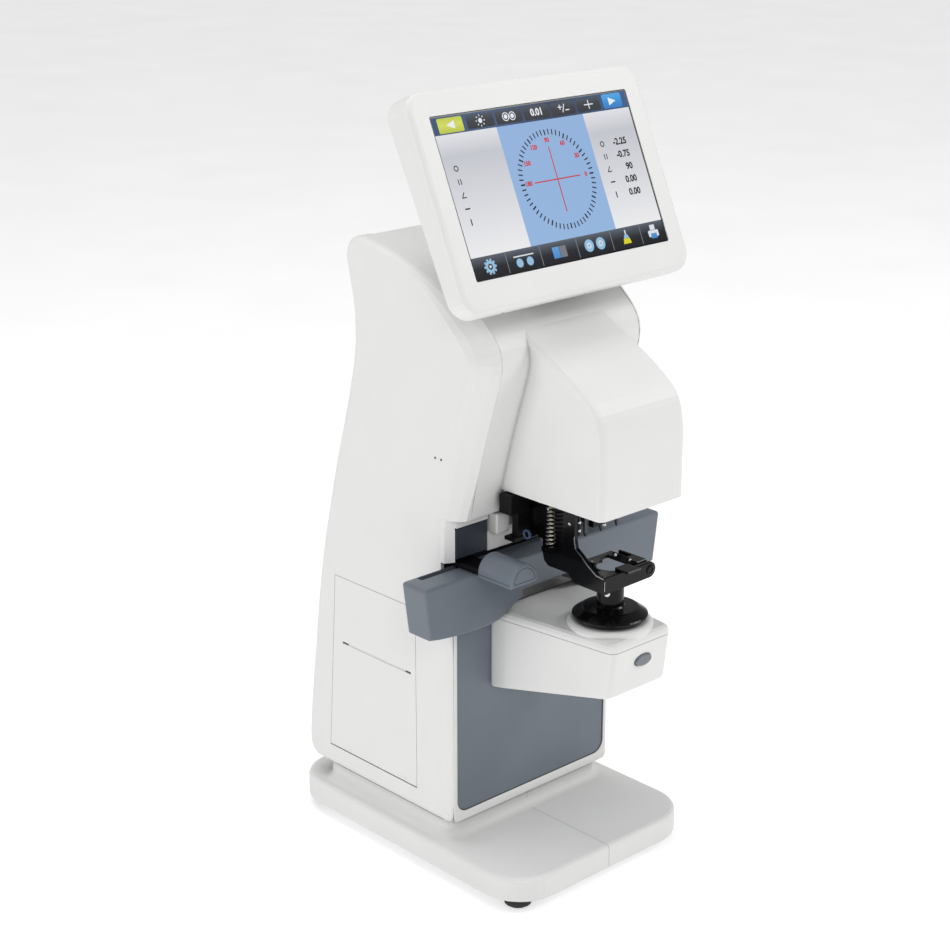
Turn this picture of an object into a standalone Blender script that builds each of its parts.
"""An automatic lensmeter, built as an assembly of separate pieces.

The optical column is a C-shaped casting inside white covers. Its lower arm carries the stage with the
nosepiece, its upper arm carries the lamp under the hood, and a tilting touch display stands on top.
Lengths below are millimetres: x to the right, y back from the front edge of the base, z up from the
surface that the feet stand on. Every object hangs on one empty, which puts the origin in the middle of
the footprint.
"""

import math

import bmesh
import bpy
from mathutils import Matrix, Vector

MM = 0.001
GAP = 0.3
LEFT = -1
RIGHT = 1

# Driving dimensions.
FRONT_LIMIT = -22.6
BASE_WIDTH = 152.4
BASE_DEPTH = 211.7
BASE_CORNER = 28.0
BASE_BOTTOM = 7.0
BASE_TOP = 22.2
PLINTH_TOP = 33.6
BODY_HALF_WIDTH = 68.0
SEAM_X = 55.4
WALL = 2.5
WAIST_TOP = 229.0
PANEL_Y = 67.0
AXIS_Y = 3.9
STAGE_TOP = 161.2
HOOD_HALF_WIDTH = 34.3
HOOD_BOTTOM = 242.6
HOOD_FRONT = -19.9
SCREEN_WIDTH = 152.4
SCREEN_HEIGHT = 91.4
DISPLAY_WIDTH = 180.0
DISPLAY_HEIGHT = 124.7
DISPLAY_CENTRE = (0.0, 52.7, 416.3)
DISPLAY_TILT = math.radians(24.24)
TABLE_TOP = 198.0
TABLE_HALF_WIDTH = 97.8
TABLE_FRONT = 54.9
TABLE_REAR = 74.8
PAPER_WIDTH = 57.0

# Joint axes, one point on each.
ORIGIN_Y = (FRONT_LIMIT + BASE_DEPTH) / 2
HINGE = (0.0, 62.0, 373.7)
TABLE_AXIS = (0.0, TABLE_REAR, 181.0)
SLIDER_AXIS = (-51.5, 60.0, TABLE_TOP)
HOLDER_AXIS = (-13.5, 44.0, 230.0)
MARKER_AXIS = (0.0, 14.0, 236.0)
BUTTON_AXIS = (1.4, -22.0, 151.0)
DOOR_AXIS = (-66.4, 138.0, 50.4)
ROLL_AXIS = (-37.0, 134.0, 84.0)
PLATEN_AXIS = (-56.0, 134.0, 118.5)
SWITCH_AXIS = (-7.0, 203.6, 62.0)


# ---------------------------------------------------------------- scene and materials

def clear_scene():
    for old in list(bpy.data.objects):
        bpy.data.objects.remove(old, do_unlink=True)


def material(name, colour, roughness, metallic=0.0):
    skin = bpy.data.materials.new(name)
    skin.use_nodes = True
    shader = skin.node_tree.nodes["Principled BSDF"]
    shader.inputs["Base Color"].default_value = (*colour, 1.0)
    shader.inputs["Roughness"].default_value = roughness
    shader.inputs["Metallic"].default_value = metallic
    return skin


COLOURS = {
    "white_plastic": ((0.80, 0.80, 0.79), 0.42, 0.0),
    "grey_plastic": ((0.17, 0.20, 0.235), 0.48, 0.0),
    "black_plastic": ((0.02, 0.02, 0.022), 0.45, 0.0),
    "black_gloss": ((0.010, 0.010, 0.012), 0.18, 0.0),
    "steel": ((0.62, 0.62, 0.63), 0.30, 1.0),
    "cast_metal": ((0.55, 0.56, 0.57), 0.50, 1.0),
    "rubber": ((0.025, 0.025, 0.025), 0.80, 0.0),
    "glass": ((0.85, 0.90, 0.92), 0.05, 0.0),
    "screen": ((0.20, 0.34, 0.62), 0.12, 0.0),
    "paper": ((0.86, 0.85, 0.82), 0.85, 0.0),
    "circuit_board": ((0.02, 0.16, 0.07), 0.50, 0.0),
    "white_tip": ((0.86, 0.86, 0.84), 0.40, 0.0),
}


def empty(name, place, parent=None):
    point = bpy.data.objects.new(name, None)
    point.location = Vector(place) * MM
    point.parent = parent
    bpy.context.scene.collection.objects.link(point)
    return point


class Assembly:
    """The frame, the empties on the joint axes and the materials, and the way that a piece joins them."""

    def __init__(self):
        self.frame = empty("lensmeter_frame", (0.0, -ORIGIN_Y, 0.0))
        self.pivots = {None: (self.frame, Vector((0, 0, 0)))}
        self.skins = {name: material(name, *values) for name, values in COLOURS.items()}

    def pivot(self, name, place, parent=None):
        above, above_place = self.pivots[parent]
        point = empty(name, Vector(place) - above_place, above)
        self.pivots[name] = (point, Vector(place))

    def add(self, name, form, skin, pivot=None, cutters=(), unions=()):
        """Puts a bmesh in the scene as one named piece, with what it is fused to and cut by."""
        parent, place = self.pivots[pivot]
        piece = self.link(name, form, parent, place)
        piece.data.materials.append(self.skins[skin])
        for number, other in enumerate(unions):
            self.boolean(piece, f"{name}_joined_{number}", other, "UNION", parent, place)
        for number, other in enumerate(cutters):
            self.boolean(piece, f"{name}_cutter_{number}", other, "DIFFERENCE", parent, place)
        return piece

    def link(self, name, form, parent, place):
        mesh = bpy.data.meshes.new(name)
        form.to_mesh(mesh)
        form.free()
        mesh.shade_smooth()
        mesh.set_sharp_from_angle(angle=math.radians(32))
        piece = bpy.data.objects.new(name, mesh)
        piece.parent = parent
        piece.location = -place * MM
        bpy.context.scene.collection.objects.link(piece)
        return piece

    def boolean(self, piece, name, form, operation, parent, place):
        helper = self.link(name, form, parent, place)
        helper.hide_render = True
        helper.display_type = "WIRE"
        step = piece.modifiers.new(name, "BOOLEAN")
        step.operation = operation
        step.solver = "EXACT"
        step.object = helper


# ---------------------------------------------------------------- forms

def arc(centre, radius, start, end, steps):
    """Points of a circle arc in a plane, from angle start to angle end in degrees."""
    turn = [math.radians(start + (end - start) * i / steps) for i in range(steps + 1)]
    return [(centre[0] + radius * math.cos(a), centre[1] + radius * math.sin(a)) for a in turn]


def rounded_rectangle(width, depth, radius, steps=6, centre=(0.0, 0.0)):
    right, back = width / 2 - radius, depth / 2 - radius
    corners = ((right, back, 0), (-right, back, 90), (-right, -back, 180), (right, -back, 270))
    points = []
    for x, y, turn in corners:
        points += arc((centre[0] + x, centre[1] + y), radius, turn, turn + 90, steps)
    return points


def smooth(points, steps=3, closed=False):
    """A Catmull-Rom curve through points of any number of values."""
    count = len(points)
    curve = []
    for i in range(count if closed else count - 1):
        near = [points[(i + k) % count] if closed else points[min(max(i + k, 0), count - 1)]
                for k in (-1, 0, 1, 2)]
        for step in range(steps):
            t = step / steps
            weights = (
                (-t + 2 * t**2 - t**3) / 2,
                (2 - 5 * t**2 + 3 * t**3) / 2,
                (t + 4 * t**2 - 3 * t**3) / 2,
                (-(t**2) + t**3) / 2,
            )
            curve.append(tuple(sum(w * p[k] for w, p in zip(weights, near)) for k in range(len(points[0]))))
    if not closed:
        curve.append(tuple(points[-1]))
    return curve


def inset(outline, distances):
    """Moves each point of a closed outline inwards, by one distance or by its own."""
    count = len(outline)
    if not hasattr(distances, "__len__"):
        distances = [distances] * count
    area = sum(a[0] * b[1] - b[0] * a[1] for a, b in zip(outline, outline[1:] + outline[:1]))
    turn = 1.0 if area > 0 else -1.0
    moved = []
    for i, point in enumerate(outline):
        before = Vector(outline[i - 1][:2])
        after = Vector(outline[(i + 1) % count][:2])
        here = Vector(point[:2])
        one = (here - before).normalized()
        two = (after - here).normalized()
        normal = Vector((-(one.y + two.y), one.x + two.x)).normalized() * turn
        stretch = max(0.5, abs(normal.dot(Vector((-one.y, one.x)))))
        moved.append(tuple(here + normal * (distances[i] / stretch)))
    return moved


def skin(rings, loop=False):
    """Joins rings of (x, y, z) points into one closed body: capped, or joined last to first."""
    form = bmesh.new()
    rows = [[form.verts.new(Vector(point) * MM) for point in ring] for ring in rings]
    count = len(rings[0])
    pairs = list(zip(rows, rows[1:])) + ([(rows[-1], rows[0])] if loop else [])
    for low, high in pairs:
        for i in range(count):
            j = (i + 1) % count
            form.faces.new((low[i], low[j], high[j], high[i]))
    if not loop:
        form.faces.new(rows[0])
        form.faces.new(rows[-1])
    bmesh.ops.recalc_face_normals(form, faces=form.faces)
    return form


def along_x(outline, x):
    return [(x, y, z) for y, z in outline]


def along_y(outline, y):
    return [(x, y, z) for x, z in outline]


def along_z(outline, z):
    return [(x, y, z) for x, y in outline]


def plate(outline, place, low, high, edge=0.0, low_edge=None, steps=2):
    """A flat outline given thickness between two levels, with its rims rounded by edge and low_edge."""
    if not edge:
        return skin([place(outline, low), place(outline, high)])
    low_edge = edge if low_edge is None else low_edge
    rings = []
    for step in range(steps + 1):
        a = math.radians(90 * step / steps)
        rings.append(place(inset(outline, low_edge * (1 - math.sin(a))), low + low_edge * (1 - math.cos(a))))
    for step in range(steps, -1, -1):
        a = math.radians(90 * step / steps)
        rings.append(place(inset(outline, edge * (1 - math.sin(a))), high - edge * (1 - math.cos(a))))
    return skin(rings)


def block(x, y, z, edge=0.0):
    """A box between the two limits on each axis, with its edges rounded."""
    form = bmesh.new()
    size = Vector((x[1] - x[0], y[1] - y[0], z[1] - z[0]))
    middle = Vector((x[0] + x[1], y[0] + y[1], z[0] + z[1])) / 2
    turn = Matrix.Translation(middle * MM) @ Matrix.Diagonal((*(size * MM), 1.0))
    bmesh.ops.create_cube(form, size=1.0, matrix=turn)
    if edge:
        bmesh.ops.bevel(form, geom=form.edges[:], offset=edge * MM, segments=1, affect="EDGES")
    return form


def turned(profile, centre, axis="Z", steps=24, loop=False):
    """A profile of (radius, height) turned about an axis through centre. A loop makes a ring with a bore."""
    rings = []
    for radius, height in profile:
        ring = []
        for i in range(steps):
            a = 2 * math.pi * i / steps
            across, up = radius * math.cos(a), radius * math.sin(a)
            offset = {"X": (height, across, up), "Y": (up, height, across), "Z": (across, up, height)}[axis]
            ring.append(tuple(c + o for c, o in zip(centre, offset)))
        rings.append(ring)
    return skin(rings, loop)


def rod(centre, axis, radius, low, high, steps=16, edge=0.0):
    profile = [(radius, low), (radius, high)]
    if edge:
        profile = [(radius - edge, low), (radius, low + edge), (radius, high - edge), (radius - edge, high)]
    return turned(profile, centre, axis, steps)


def tube(centre, axis, outer, inner, low, high, steps=20):
    return turned([(outer, low), (outer, high), (inner, high), (inner, low)], centre, axis, steps, loop=True)


def tilted(form, angle, point):
    """Turns a form about an X axis through point."""
    centre = Vector(point) * MM
    turn = Matrix.Translation(centre) @ Matrix.Rotation(angle, 4, "X") @ Matrix.Translation(-centre)
    bmesh.ops.transform(form, matrix=turn, verts=form.verts)
    return form


def in_display(form):
    """Moves a form made about the display's centre, with the screen facing -Y, to its tilted place."""
    turn = Matrix.Translation(Vector(DISPLAY_CENTRE) * MM) @ Matrix.Rotation(-DISPLAY_TILT, 4, "X")
    bmesh.ops.transform(form, matrix=turn, verts=form.verts)
    return form


# ---------------------------------------------------------------- base

def base_half(build, side, name):
    outline = rounded_rectangle(BASE_WIDTH, BASE_DEPTH, BASE_CORNER, 8, (0.0, BASE_DEPTH / 2))
    slab = plate(outline, along_z, BASE_BOTTOM, BASE_TOP, edge=2.4, low_edge=0.8)
    footprint = rounded_rectangle(130.6, 117.0, 9.0, 5, (0.0, 129.5))
    plinth = plate(footprint, along_z, BASE_TOP - 6.0, PLINTH_TOP, edge=3.2)
    pocket_outline = rounded_rectangle(BASE_WIDTH - 7.0, BASE_DEPTH - 7.0, BASE_CORNER - 3.5, 6, (0.0, BASE_DEPTH / 2))
    pocket = plate(pocket_outline, along_z, BASE_BOTTOM - 4.0, BASE_TOP - 3.0)
    well = block((-57.0, 57.0), (80.0, 178.0), (BASE_TOP - 8.0, PLINTH_TOP + 5.0))
    middle = GAP / 2
    other_half = block((-middle, 100.0) if side == LEFT else (-100.0, middle), (-20.0, 240.0), (0.0, 60.0))
    build.add(name, slab, "white_plastic", cutters=(pocket, well, other_half), unions=(plinth,))


def base(build):
    base_half(build, LEFT, "base_cover_left")
    base_half(build, RIGHT, "base_cover_right")
    outline = rounded_rectangle(BASE_WIDTH - 7.8, BASE_DEPTH - 7.8, BASE_CORNER - 3.9, 6, (0.0, BASE_DEPTH / 2))
    build.add("base_plate", plate(outline, along_z, BASE_BOTTOM, BASE_BOTTOM + 2.0), "steel")
    profile = [(6.5, 0.0), (8.2, 1.2), (8.6, 3.0), (8.6, BASE_BOTTOM - GAP)]
    for depth, y in (("front", 17.0), ("rear", BASE_DEPTH - 17.0)):
        for side, x in (("left", -60.0), ("right", 60.0)):
            build.add(f"foot_{depth}_{side}", turned(profile, (x, y, 0.0), steps=16), "rubber")


# ---------------------------------------------------------------- covers

# The side of the body, from the foot up the front, over the top and down the rear: y, z, how far the
# rounded rim reaches in from the outline and in from the side face, and the rim's roundness, where 2 is a
# quarter circle and 1 a flat chamfer.
BODY_SIDE = (
    (70.6, 34.6, 4.0, 3.6, 2.0), (67.4, 38.0, 4.0, 2.8, 2.0), (67.0, 48.0, 12.0, 2.6, 2.0),
    (67.0, 62.0, 18.0, 2.6, 2.0), (67.0, 140.0, 17.0, 2.8, 2.0), (66.4, 185.0, 14.0, 4.5, 1.8),
    (62.6, 228.0, 13.0, 9.0, 1.4), (56.6, 254.0, 13.5, 12.3, 1.25), (47.6, 286.0, 14.0, 12.4, 1.2),
    (39.6, 310.8, 14.0, 12.4, 1.2), (36.9, 325.0, 14.0, 12.4, 1.2), (40.5, 336.4, 14.0, 12.4, 1.2),
    (51.8, 347.2, 13.0, 12.4, 1.25), (68.0, 356.6, 9.0, 9.0, 1.5), (84.3, 365.6, 5.0, 5.0, 1.8),
    (98.4, 371.8, 4.0, 4.0, 2.0), (112.7, 376.0, 4.0, 4.0, 2.0), (127.3, 379.4, 4.0, 4.0, 2.0),
    (143.0, 382.0, 4.0, 4.0, 2.0), (152.4, 380.0, 4.5, 4.5, 2.0), (157.4, 372.6, 5.0, 5.0, 2.0),
    (156.8, 361.0, 6.0, 6.0, 2.0), (153.4, 345.0, 6.5, 6.5, 2.0), (152.2, 327.0, 7.0, 7.0, 2.0),
    (154.4, 306.0, 7.0, 7.0, 2.0), (162.0, 275.6, 7.0, 7.0, 2.0), (171.0, 245.0, 7.0, 7.0, 2.0),
    (179.0, 214.0, 7.0, 7.0, 2.0), (187.2, 179.0, 7.0, 7.0, 2.0), (193.2, 144.0, 7.0, 7.0, 2.0),
    (197.8, 108.8, 7.0, 7.0, 2.0), (202.0, 79.6, 7.0, 7.0, 2.0), (205.0, 50.3, 7.0, 7.0, 2.0),
    (203.4, 40.0, 6.0, 6.0, 2.0), (197.0, 34.9, 4.0, 4.0, 2.0), (188.0, 34.0, 4.0, 4.0, 2.0),
    (130.0, 34.0, 4.0, 4.0, 2.0), (78.0, 34.0, 4.0, 4.0, 2.0),
)
FRONT_COVER_ENDS = (6, 19)
REAR_COVER_ENDS = (19, 33)
BODY_OUTLINE = smooth(BODY_SIDE, 2, closed=True)
RIM_STEPS = 3


def body_block(side, reach, in_wall):
    """The solid of one side of the body: the outline carried out to the side face, with a rounded rim."""
    outline = [point[:2] for point in BODY_OUTLINE]
    across = [max(1.0, point[2] - in_wall) for point in BODY_OUTLINE]
    deepest = BODY_HALF_WIDTH - in_wall - reach - GAP
    depth = [min(deepest, max(0.8, point[3] - in_wall)) for point in BODY_OUTLINE]
    power = [2.0 / point[4] for point in BODY_OUTLINE]
    if in_wall:
        outline = inset(outline, in_wall)
    face = BODY_HALF_WIDTH - in_wall
    rings = [along_x(outline, side * reach)]
    for step in range(RIM_STEPS, -1, -1):
        a = math.radians(90 * step / RIM_STEPS)
        moved = inset(outline, [r * (1 - math.sin(a) ** e) for r, e in zip(across, power)])
        reaches = [side * (face - d * (1 - max(0.0, math.cos(a)) ** e)) for d, e in zip(depth, power)]
        rings.append([(x, y, z) for x, (y, z) in zip(reaches, moved)])
    return skin(rings)


def side_shell(build, side, name, extra_cutters):
    inner = SEAM_X + GAP / 2
    hollow = body_block(side, inner - 6.0, WALL)
    sill = sorted((side * 65.3, side * (inner - 6.0)))
    front_window = block(sill, (58.0, 73.0), (36.4, 170.0))
    beyond = sorted((side * (BODY_HALF_WIDTH + 5.0), side * (inner - 6.0)))
    notch = block(beyond, (50.0, 75.2), (160.0, WAIST_TOP - 1.2))
    cutters = [hollow, front_window, notch] + extra_cutters
    build.add(name, body_block(side, inner, 0.0), "white_plastic", cutters=cutters)


def strip_between(first, last):
    """The stretch of the body's side outline between two of its control points."""
    return [point[:2] for point in smooth(BODY_SIDE[first : last + 1], 3)]


def offset_line(line, distance):
    """The same open line moved sideways, to the left of its direction of travel when distance is positive."""
    moved = []
    for i, point in enumerate(line):
        before = Vector(line[max(i - 1, 0)])
        after = Vector(line[min(i + 1, len(line) - 1)])
        way = (after - before).normalized()
        moved.append(tuple(Vector(point) + Vector((-way.y, way.x)) * distance))
    return moved


def band(line, outer, inner, half_width):
    """A bent sheet: the line at two offsets, carried across the body between the seams."""
    outline = offset_line(line, outer) + offset_line(line, inner)[::-1]
    return skin([along_x(outline, -half_width), along_x(outline, half_width)])


def rear_cover(build):
    width = SEAM_X - GAP / 2
    line = strip_between(*REAR_COVER_ENDS)
    cutters = [block((-22.0, 22.0), (165.0, 215.0), (z, z + 3.0)) for z in range(200, 249, 8)]
    cutters.append(block((-46.4, 4.4), (190.0, 215.0), (49.6, 74.4)))
    meeting_y = BODY_SIDE[FRONT_COVER_ENDS[1]][0] + GAP
    cutters.append(block((-60.0, 60.0), (meeting_y - 15.0, meeting_y), (360.0, 390.0)))
    build.add("rear_cover", band(line, -0.2, -0.2 - WALL, width), "white_plastic", cutters=cutters)


HOOD_CREST = (
    (HOOD_FRONT, HOOD_BOTTOM), (HOOD_FRONT, 268.0), (-19.6, 283.0), (-17.6, 295.5), (-12.9, 305.0), (-2.0, 314.0),
    (13.3, 323.3), (28.0, 331.4), (44.0, 340.3),
)
HOOD_REAR = 64.0


def square_below(ring, outline):
    """Keeps the points of the outline's lowest level at that level, so that its bottom rim stays sharp."""
    lowest = min(z for _, z in outline)
    return [(y, lowest if z == lowest else moved) for (y, moved), (_, z) in zip(ring, outline)]


def hood_form(in_wall, edge):
    """The hood's side profile carried across it, with rounded side rims. The inner form runs out below and behind."""
    outline = [(HOOD_REAR, HOOD_BOTTOM)] + smooth(HOOD_CREST, 3) + [(HOOD_REAR, 346.0)]
    half = HOOD_HALF_WIDTH - in_wall
    if in_wall:
        outline = inset(outline, in_wall)
        outline = [(y, z - 12.0 if z < HOOD_BOTTOM + 4.0 else z) for y, z in outline]
        outline = [(y + 12.0 if y > HOOD_REAR - 4.0 else y, z) for y, z in outline]
    rings = []
    for side in (LEFT, RIGHT):
        rim = []
        for step in range(4):
            a = math.radians(90 * step / 3)
            ring = square_below(inset(outline, edge * (1 - math.sin(a))), outline)
            rim.append(along_x(ring, side * (half - edge * (1 - math.cos(a)))))
        rings += rim if side == LEFT else rim[::-1]
    return skin(rings)


def front_cover(build):
    """The front cover between the side shells, moulded in one with the hood over the lamp."""
    line = strip_between(*FRONT_COVER_ENDS)
    cover = band(line, -0.2, -0.2 - WALL, SEAM_X - GAP / 2)
    behind = offset_line(line[:26], -0.2 - WALL)
    inside = skin([along_x(behind + [(110.0, 362.0), (110.0, 215.0)], side * 50.0) for side in (LEFT, RIGHT)])
    neck_mouth = block((-22.0, 22.0), (57.0, 82.0), (345.0, 372.0))
    build.add("front_cover", cover, "white_plastic", unions=(hood_form(0.0, 4.0),),
              cutters=(hood_form(WALL, 1.5), inside, neck_mouth))


def panels(build):
    bottom, top, half = 36.8, 159.6, 65.0
    outline = arc((-half + 8.0, bottom + 8.0), 8.0, 180, 270, 5) + arc((half - 8.0, bottom + 8.0), 8.0, 270, 360, 5)
    outline += [(half, top), (-half, top)]
    stage_hole = block((-31.0, 31.0), (55.0, 85.0), (121.0, top + 5.0))
    build.add("lower_front_panel", plate(outline, along_y, PANEL_Y, PANEL_Y + WALL, edge=0.6), "grey_plastic",
              cutters=(stage_hole,))
    rod_holes = [rod((x, 80.0, 186.0), "Y", 5.4, -15.0, 15.0) for x in (-42.0, 42.0)]
    bay = block((-24.0, 24.0), (70.0, 90.0), (208.0, 240.0))
    window = block((-62.0, -37.9), (68.0, 78.0), (204.0, 227.4))
    build.add("waist_panel", block((-62.5, 62.5), (77.4, 79.9), (160.0, 232.0), edge=0.4), "grey_plastic",
              cutters=rod_holes + [bay], unions=(window,))
    step = block((-36.8, -26.0), (60.6, 76.7), (214.6, 227.2), edge=0.8)
    ledge = block((-37.4, 31.0), (67.5, 76.9), (203.0, 215.2), edge=0.4)
    build.add("waist_cover", step, "white_plastic", unions=(ledge,))


# ---------------------------------------------------------------- stage and nosepiece

STAGE_PLAN = (
    (PANEL_Y - GAP, 35.0), (56.0, 34.4), (20.0, 29.8), (-12.0, 26.0), (-16.8, 25.4), (-18.9, 24.9), (-20.5, 24.0),
    (-21.6, 22.7), (-22.2, 21.2), (-22.4, 19.6),
)
STAGE_FILLET = 2.4


def stage_ring(shrink, lean, z_at):
    """The stage's plan at one level: its sides taper forward to a rounded front, with a straight front face."""
    half = [(x, y + (lean if y < 0 else 0.0)) for y, x in STAGE_PLAN]
    outline = half + [(-x, y) for x, y in reversed(half)]
    outline = inset(outline, shrink) if shrink else outline
    return [(x, y, z_at(y)) for x, y in outline]


def stage_floor(y):
    """The underside slopes down towards the column."""
    return 132.3 - (y + 19.4) * 17.3 / 86.4


def stage_form(shrink, raise_floor, top):
    rings = []
    for part in range(4):
        a = math.radians(30 * part)
        rings.append(stage_ring(shrink + STAGE_FILLET * (1 - math.sin(a)), 3.0,
                                lambda y, a=a: stage_floor(y) + raise_floor + STAGE_FILLET * (1 - math.cos(a))))
    rings.append(stage_ring(shrink, 0.0, lambda y: top))
    return skin(rings)


def oval(radius_x, radius_z, centre, steps=16):
    turn = [2 * math.pi * i / steps for i in range(steps)]
    return [(centre[0] + radius_x * math.cos(a), centre[1] + radius_z * math.sin(a)) for a in turn]


def stage(build):
    hollow = stage_form(WALL, WALL, STAGE_TOP + 5.0)
    rear_gate = block((-30.0, 30.0), (50.0, 80.0), (122.6, STAGE_TOP + 5.0))
    centre = (BUTTON_AXIS[0], BUTTON_AXIS[2])
    button_hole = plate(oval(7.2, 4.0, centre), along_y, -40.0, -10.0)
    build.add("stage_housing", stage_form(0.0, 0.0, STAGE_TOP), "white_plastic",
              cutters=(hollow, rear_gate, button_hole))
    rings = [
        stage_ring(0.0, 0.0, lambda y: STAGE_TOP + GAP), stage_ring(0.1, 0.0, lambda y: 163.6),
        stage_ring(0.9, 0.0, lambda y: 165.5), stage_ring(2.6, 0.0, lambda y: 166.6),
    ]
    boss_profile = [
        (25.7, 165.0), (25.7, 166.4), (25.3, 168.0), (24.2, 169.2), (22.8, 169.8), (21.4, 169.9), (12.0, 169.9),
        (12.0, 165.0),
    ]
    boss = turned(boss_profile, (0.0, AXIS_Y, 0.0), steps=48, loop=True)
    bore = rod((0.0, AXIS_Y, 0.0), "Z", 12.0, 150.0, 180.0, 24)
    build.add("stage_top_cover", skin(rings), "white_plastic", cutters=(bore,), unions=(boss,))
    face = oval(6.8, 3.6, centre)
    build.add("read_button", plate(face, along_y, -22.6, -16.0, edge=0.8), "grey_plastic", "read_button_press")


def nosepiece(build):
    profile = [
        (4.0, 170.3), (18.6, 170.3), (21.0, 171.0), (22.0, 172.2), (22.2, 173.4), (21.6, 174.0), (16.8, 177.2),
        (15.8, 177.6), (8.8, 177.9), (8.0, 178.8), (8.0, 190.8), (7.2, 191.8), (4.0, 191.8),
    ]
    build.add("nosepiece", turned(profile, (0.0, AXIS_Y, 0.0), steps=48, loop=True), "black_gloss")


# ---------------------------------------------------------------- optics and frame

def optics(build):
    axis = (0.0, AXIS_Y, 0.0)
    floor = BASE_BOTTOM + 2.0 + GAP
    column = block((-14.0, 14.0), (84.0, 102.0), (floor + 2.0, 299.0), edge=1.5)
    foot = block((-30.0, 30.0), (82.0, 150.0), (floor, 17.0), edge=1.5)
    upper_arm = block((-18.0, 18.0), (12.0, 92.0), (278.0, 301.0), edge=1.5)
    lower_arm = block((-10.0, 10.0), (12.0, 92.0), (150.0, 159.0), edge=1.0)
    upper_ring = rod(axis, "Z", 16.0, 275.0, 298.0, 24)
    lower_ring = rod(axis, "Z", 14.5, 149.2, 160.0, 24)
    upper_bore = rod(axis, "Z", 11.3, 260.0, 310.0, 24)
    lower_bore = rod(axis, "Z", 10.3, 140.0, 165.0, 24)
    rod_bore = rod((HOLDER_AXIS[0], HOLDER_AXIS[1], 0.0), "Z", 3.3, 270.0, 310.0)
    build.add("chassis_frame", column, "cast_metal", cutters=(upper_bore, lower_bore, rod_bore),
              unions=(foot, upper_arm, lower_arm, upper_ring, lower_ring))
    build.add("objective_barrel", tube(axis, "Z", 10.0, 6.5, 149.0, 168.5), "black_plastic")
    build.add("relay_tube", tube((0.0, 0.0, 140.0), "Y", 7.2, 5.6, 14.0, 60.0), "black_plastic")
    build.add("sensor_board", block((-14.0, 14.0), (60.4, 62.0), (127.0, 148.0)), "circuit_board")
    mirror = block((-6.5, 6.5), (-3.0, 11.0), (139.4, 141.0))
    build.add("fold_mirror", tilted(mirror, math.radians(45), (0.0, AXIS_Y, 140.2)), "glass")
    build.add("lamp_tube", tube(axis, "Z", 11.0, 8.5, 262.0, 302.0), "black_plastic")
    build.add("collimator_lens", rod(axis, "Z", 8.2, 264.0, 267.0, 20), "glass")
    build.add("holder_guide_rod", rod((HOLDER_AXIS[0], HOLDER_AXIS[1], 0.0), "Z", 3.0, 208.0, 299.0), "steel")


# ---------------------------------------------------------------- lens table and slider

def lens_table(build):
    under = [
        (-93.6, 165.8), (-86.7, 164.5), (-75.9, 163.3), (-63.9, 162.5), (-46.6, 162.4), (-38.4, 163.8),
        (-33.2, 167.2), (-27.0, 170.2), (-20.4, 173.0), (-20.3, 177.6),
    ]
    half = arc((-TABLE_HALF_WIDTH + 2.0, TABLE_TOP - 2.0), 2.0, 90, 180, 3) + under
    outline = half + [(-x, z) for x, z in reversed(half)]
    slot = block((-88.0, 88.0), (68.6, 73.2), (186.0, TABLE_TOP + 5.0))
    build.add("lens_table", plate(outline, along_y, TABLE_FRONT, TABLE_REAR, edge=1.4), "grey_plastic",
              "lens_table_slide", cutters=(slot,))
    build.add("table_slot_strip", block((-87.6, 87.6), (68.9, 72.9), (186.3, 191.0)), "black_plastic", "lens_table_slide")
    for side, x in (("left", -42.0), ("right", 42.0)):
        build.add(f"table_rod_{side}", rod((x, 0.0, 186.0), "Y", 4.0, TABLE_REAR + GAP, 150.0, edge=0.6), "steel",
                  "lens_table_slide")


def pd_slider(build):
    left, right, low = -61.8, -41.2, TABLE_TOP + GAP
    centre = ((left + right) / 2, low + 2.5)
    dome = [(left, low), (left, low + 2.5)]
    dome += arc(centre, (right - left) / 2, 180, 0, 14)[1:-1] + [(right, low + 2.5), (right, low)]
    build.add("pd_slider", plate(dome, along_y, 22.2, 50.6, edge=1.5, low_edge=1.1, steps=3), "grey_plastic",
              "pd_slider_slide")
    arm = block((-60.0, -46.0), (50.9, 74.0), (TABLE_TOP + GAP, 201.5), edge=0.6)
    tongue = block((-58.0, -48.0), (69.2, 72.6), (191.4, 199.5))
    build.add("slider_carriage", arm, "black_plastic", "pd_slider_slide", unions=(tongue,))


# ---------------------------------------------------------------- lens holder and marker

PLATE_LEFT, PLATE_RIGHT = -21.8, -19.2
BAR_FRONT, BAR_REAR, BAR_END = -12.2, -9.2, 20.6
PIN_SPACING, PIN_Y = 13.0, 12.5


def side_plate_outline():
    """The holder's side plate: upright at the rear, swept forward in an S to the front bar."""
    lower = [(BAR_FRONT, 194.4), (10.8, 194.6), (13.5, 195.6), (17.2, 199.4), (33.0, 199.4), (36.6, 202.0), (38.0, 207.0)]
    upper = [(38.0, 250.0), (12.4, 250.0), (12.4, 221.0), (11.2, 215.8), (6.6, 212.8), (1.5, 208.6), (-5.6, 204.4)]
    return lower + upper + [(BAR_FRONT + 1.0, 203.8), (BAR_FRONT, 202.8)]


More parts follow.
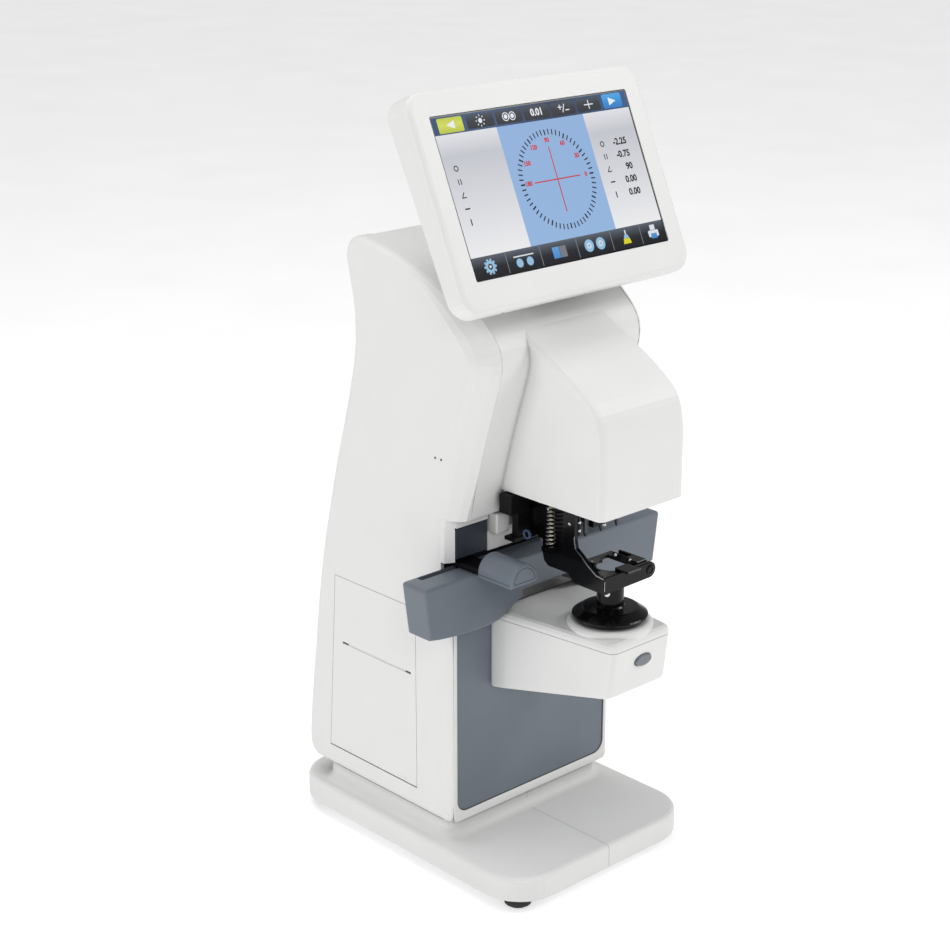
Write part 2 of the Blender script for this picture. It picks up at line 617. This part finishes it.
def lens_holder(build):
    pivot = "lens_holder_lift"
    side = plate(side_plate_outline(), along_x, PLATE_LEFT, PLATE_RIGHT)
    end = arc((BAR_END - 4.8, 199.8), 4.8, -90, 90, 8)
    bar = plate([(PLATE_LEFT, 194.4)] + end + [(PLATE_LEFT, 204.8)], along_y, BAR_FRONT, BAR_REAR, edge=0.5)
    slide = block((-21.0, -7.5), (37.0, 51.0), (214.0, 252.0), edge=0.8)
    x, y = SPRING_CENTRE
    seat = block((x - 3.8, -21.0), (y - 3.8, y + 3.8), (211.0, 213.4))
    boss = rod((0.0, HOLDER_AXIS[1], 217.6), "X", 3.0, -28.0, -20.0, 16, edge=0.5)
    bore = rod((HOLDER_AXIS[0], HOLDER_AXIS[1], 0.0), "Z", 3.4, 200.0, 270.0)
    build.add("holder_arm", side, "black_gloss", pivot, cutters=(bore,), unions=(bar, slide, seat, boss))
    frame = block((-18.9, 17.0), (BAR_REAR + GAP, 20.0), (200.6, 202.6), edge=0.4)
    eye = rod((0.0, AXIS_Y, 0.0), "Z", 9.5, 190.0, 210.0, 24)
    notch = block((2.5, 10.4), (-1.0, 16.2), (190.0, 210.0))
    slots = [block((x - 2.2, x + 2.2), (1.4, PIN_Y + 2.2), (190.0, 210.0)) for x in (-PIN_SPACING, PIN_SPACING)]
    rail = block((8.2, 16.8), (BAR_REAR + 2 * GAP, 12.4), (201.0, 205.4), edge=0.4)
    hook = block((-12.4, -6.0), (7.0, 13.0), (201.0, 205.4), edge=0.4)
    tab = block((-9.0, 2.0), (-18.0, BAR_REAR + 1.5), (205.1, 206.2), edge=0.3)
    tab_root = block((-8.0, 1.0), (BAR_REAR + 2 * GAP, BAR_REAR + 2.5), (201.0, 206.0))
    build.add("press_plate", frame, "black_gloss", pivot, cutters=[eye, notch] + slots,
              unions=(rail, hook, tab_root, tab))
    tip = [(1.0, 193.2), (1.7, 194.0), (1.7, 198.6), (2.4, 198.8), (2.4, 200.3)]
    for name, x, y in (("left", -13.2, -3.6), ("right", 13.8, -3.6), ("rear", -4.0, 17.0)):
        build.add(f"lens_pin_{name}", turned(tip, (x, y, 0.0), steps=10), "white_tip", pivot)
    build.add("holder_spring", coil(), "steel", pivot)


SPRING_CENTRE = (-24.9, 28.2)
SPRING_LOW, SPRING_HIGH = 214.4, 246.0


def coil(radius=2.65, wire=0.42, turns=13, steps=10, sides=5):
    """A closed round-wire helix between the holder's seat and the hood."""
    total = turns * steps
    rings = []
    for i in range(total + 1):
        a = 2 * math.pi * i / steps
        way = Vector((math.cos(a), math.sin(a), 0.0))
        middle = Vector((*SPRING_CENTRE, SPRING_LOW + (SPRING_HIGH - SPRING_LOW) * i / total)) + way * radius
        ring = []
        for k in range(sides):
            b = 2 * math.pi * k / sides
            ring.append(tuple(middle + way * wire * math.cos(b) + Vector((0, 0, wire * math.sin(b)))))
        rings.append(ring)
    return skin(rings)


def marking_head(build):
    """Three ink pins hang from a bridge inside the hood. A finger lever hangs lower, beside the lens."""
    pivot = "marking_head_press"
    bridge = block((-16.0, 19.0), (8.0, 20.0), (246.0, 249.0), edge=0.6)
    stem = block((-5.0, 15.0), (17.0, 24.0), (246.8, 262.0), edge=0.6)
    hanger = block((17.3, 20.2), (11.0, 16.4), (232.2, 247.8))
    lever = rod((0.0, PIN_Y + 1.2, 234.8), "X", 2.0, 18.4, 30.0, 14, edge=0.5)
    build.add("marking_carriage", bridge, "black_plastic", pivot, unions=(stem, hanger, lever))
    point = [(0.5, 221.0), (1.1, 223.0), (1.1, 236.0), (1.6, 236.3), (1.6, 245.7)]
    for name, x in (("left", -PIN_SPACING), ("centre", 0.0), ("right", PIN_SPACING)):
        build.add(f"marking_pin_{name}", turned(point, (x, PIN_Y, 0.0), steps=10), "steel", pivot)
    cartridge = block((-38.0, -22.4), (48.0, 58.0), (229.6, 241.6), edge=0.6)
    column = block((-28.0, -17.6), (52.6, 57.6), (212.0, 231.0), edge=0.6)
    foot = block((-31.0, -14.6), (52.0, 60.2), (210.8, 213.0))
    build.add("ink_cartridge", cartridge, "black_plastic", unions=(column, foot))


# ---------------------------------------------------------------- display

def display_depth(z, low, high):
    """A depth behind the screen plane that grows from the display's bottom edge to its top edge."""
    return low + (high - low) * (0.5 + z / DISPLAY_HEIGHT)


def display_ring(outline, low, high):
    return [(x, display_depth(z, low, high), z) for x, z in outline]


def display(build):
    pivot = "display_tilt"
    outline = rounded_rectangle(DISPLAY_WIDTH, DISPLAY_HEIGHT, 12.0, 6)
    window = rounded_rectangle(SCREEN_WIDTH + 0.6, SCREEN_HEIGHT + 0.6, 0.8, 1, (-0.5, 1.7))
    edge = 3.2
    rings = []
    for step in range(4):
        a = math.radians(30 * step)
        rings.append(along_y(inset(outline, edge * (1 - math.sin(a))), edge * (1 - math.cos(a))))
    rings.append(display_ring(outline, 12.4, 18.0))
    opening = plate(window, along_y, -5.0, 10.0)
    inner = inset(outline, 2.6)
    cavity = skin([along_y(inner, 2.4), along_y(inner, 30.0)])
    build.add("display_bezel", in_display(skin(rings)), "white_plastic", pivot,
              cutters=(in_display(opening), in_display(cavity)))
    screen = plate(inset(window, 0.3), along_y, 0.5, 2.2)
    build.add("touch_screen", in_display(screen), "screen", pivot)
    lcd = block((-80.0, 80.0), (2.7, 6.2), (-50.0, 52.0), edge=0.4)
    build.add("lcd_panel", in_display(lcd), "cast_metal", pivot)
    back = [display_ring(inset(outline, 0.4), 12.4 + GAP, 18.0 + GAP), display_ring(inset(outline, 0.6), 13.6, 19.2)]
    back += [display_ring(inset(outline, 1.8), 14.6, 20.2), display_ring(inset(outline, 4.0), 15.2, 20.8)]
    floor = [display_ring(inset(outline, 3.0), 0.0, 5.0), display_ring(inset(outline, 5.0), 12.8, 18.4)]
    build.add("display_rear_cover", in_display(skin(back)), "white_plastic", pivot, cutters=(in_display(skin(floor)),))
    lug = rod(HINGE, "X", 8.0, -10.7, 10.7, 20)
    bridge = in_display(block((-10.7, 10.7), (19.2, 26.0), (-44.0, -24.0)))
    bore = rod(HINGE, "X", 3.3, -15.0, 15.0)
    build.add("display_pivot_block", lug, "white_plastic", pivot, cutters=(bore,), unions=(bridge,))


def neck(build):
    y, z = HINGE[1], HINGE[2]
    outline = [(y - 3.0, 344.0), (y + 16.0, 344.0), (y + 16.0, 360.0)]
    outline += arc((y, z), 8.6, 10, 170, 10) + [(y - 5.5, z - 10.0)]
    form = plate(outline, along_x, -21.0, 21.0, edge=1.0)
    slot = block((-11.0, 11.0), (y - 14.0, y + 20.0), (z - 14.0, z + 14.0))
    bore = rod(HINGE, "X", 3.2, -25.0, 25.0)
    build.add("display_neck", form, "white_plastic", cutters=(slot, bore))
    build.add("display_hinge_pin", rod(HINGE, "X", 2.9, -20.0, 20.0), "steel")


# ---------------------------------------------------------------- printer

DOOR_LOW, DOOR_HIGH = 47.8, 166.0
DOOR_FRONT, DOOR_REAR_LOW, DOOR_REAR_HIGH = 97.6, 180.4, 172.2
SLOT_Z = 122.6


def door_outline(grow):
    return [
        (DOOR_FRONT - grow, DOOR_LOW - grow), (DOOR_REAR_LOW + grow, DOOR_LOW - grow),
        (DOOR_REAR_HIGH + grow, DOOR_HIGH + grow), (DOOR_FRONT - grow, DOOR_HIGH + grow),
    ]


def door_opening():
    return plate(door_outline(GAP / 2), along_x, -BODY_HALF_WIDTH - 5.0, -BODY_HALF_WIDTH + 8.0)


def printer(build):
    door = plate(door_outline(-GAP / 2), along_x, -BODY_HALF_WIDTH, -BODY_HALF_WIDTH + WALL)
    paper_slot = block((-75.0, -60.0), (102.1, 166.2), (SLOT_Z - 0.7, SLOT_Z + 0.7))
    hinge_ear = [rod((DOOR_AXIS[0], 0.0, DOOR_AXIS[2]), "Y", 1.8, y, y + 8.0, 14) for y in (108.0, 160.0)]
    outer, low = -BODY_HALF_WIDTH - 0.9, DOOR_LOW - 0.5
    chamfer = [(outer, low), (outer + 2.15, low), (outer, low + 2.15)]
    swing_room = skin([along_y(chamfer, DOOR_FRONT - 5.0), along_y(chamfer, DOOR_REAR_LOW + 5.0)])
    build.add("printer_door", door, "white_plastic", "printer_door_hinge", cutters=(paper_slot, swing_room),
              unions=hinge_ear)
    x, y, z = ROLL_AXIS
    half = PAPER_WIDTH / 2
    paper = turned([(22.5, -half), (22.5, half), (6.6, half), (6.6, -half)], ROLL_AXIS, "Y", 36, loop=True)
    build.add("paper_roll", paper, "paper", "paper_roll_spin")
    px, py, pz = PLATEN_AXIS
    platen = turned([(2.0, -half - 2.6), (2.0, -half), (5.5, -half), (5.5, half), (2.0, half), (2.0, half + 2.6)],
                    PLATEN_AXIS, "Y", 20)
    build.add("platen_roller", platen, "rubber", "platen_roller_spin")
    cheek_low, cheek_high = half + 0.6, half + 3.4
    cheeks = []
    for side in (-1, 1):
        edges = sorted((y + side * cheek_low, y + side * cheek_high))
        cheeks.append(block((-61.0, -12.0), edges, (56.0, 128.0)))
    floor = block((-61.0, -12.0), (y - cheek_high, y + cheek_high), (54.0, 57.5))
    back = block((-14.2, -11.4), (y - cheek_high, y + cheek_high), (54.0, 128.0))
    spindle = rod(ROLL_AXIS, "Y", 6.0, -cheek_high + 0.5, cheek_high - 0.5)
    bore = rod(PLATEN_AXIS, "Y", 2.3, -60.0, 60.0)
    build.add("printer_cradle", floor, "black_plastic", unions=cheeks + [back, spindle], cutters=(bore,))
    head = block((-49.6, -47.0), (y - half + 1.0, y + half - 1.0), (112.0, 126.0))
    build.add("thermal_head", head, "cast_metal")


# ---------------------------------------------------------------- electronics and rear fittings

def electronics(build):
    build.add("main_board", block((54.0, 55.6), (100.0, 160.0), (150.0, 270.0)), "circuit_board")
    build.add("power_supply", block((18.0, 58.0), (110.0, 178.0), (46.0, 118.0), edge=1.0), "steel")
    y = 203.6
    body = block((-46.0, 4.0), (y - 20.0, y), (50.0, 74.0), edge=0.8)
    recess = block((-42.4, -19.6), (y - 16.0, y + 5.0), (54.0, 70.0))
    switch_well = block((-15.0, 1.0), (y - 16.0, y + 5.0), (56.0, 68.0))
    build.add("power_inlet", body, "black_plastic", cutters=(recess, switch_well))
    rocker = block((-14.6, 0.6), (y - 6.0, y + 1.4), (56.8, 67.2), edge=0.8)
    build.add("power_switch", tilted(rocker, math.radians(6), SWITCH_AXIS), "black_gloss", "power_switch_rock")


def main():
    clear_scene()
    build = Assembly()
    build.pivot("display_tilt", HINGE)
    build.pivot("lens_table_slide", TABLE_AXIS)
    build.pivot("pd_slider_slide", SLIDER_AXIS, "lens_table_slide")
    build.pivot("lens_holder_lift", HOLDER_AXIS)
    build.pivot("marking_head_press", MARKER_AXIS)
    build.pivot("read_button_press", BUTTON_AXIS)
    build.pivot("printer_door_hinge", DOOR_AXIS)
    build.pivot("paper_roll_spin", ROLL_AXIS)
    build.pivot("platen_roller_spin", PLATEN_AXIS)
    build.pivot("power_switch_rock", SWITCH_AXIS)
    base(build)
    side_shell(build, LEFT, "side_shell_left", [door_opening()])
    side_shell(build, RIGHT, "side_shell_right", [])
    front_cover(build)
    rear_cover(build)
    panels(build)
    stage(build)
    nosepiece(build)
    optics(build)
    lens_table(build)
    pd_slider(build)
    lens_holder(build)
    marking_head(build)
    display(build)
    neck(build)
    printer(build)
    electronics(build)


main()
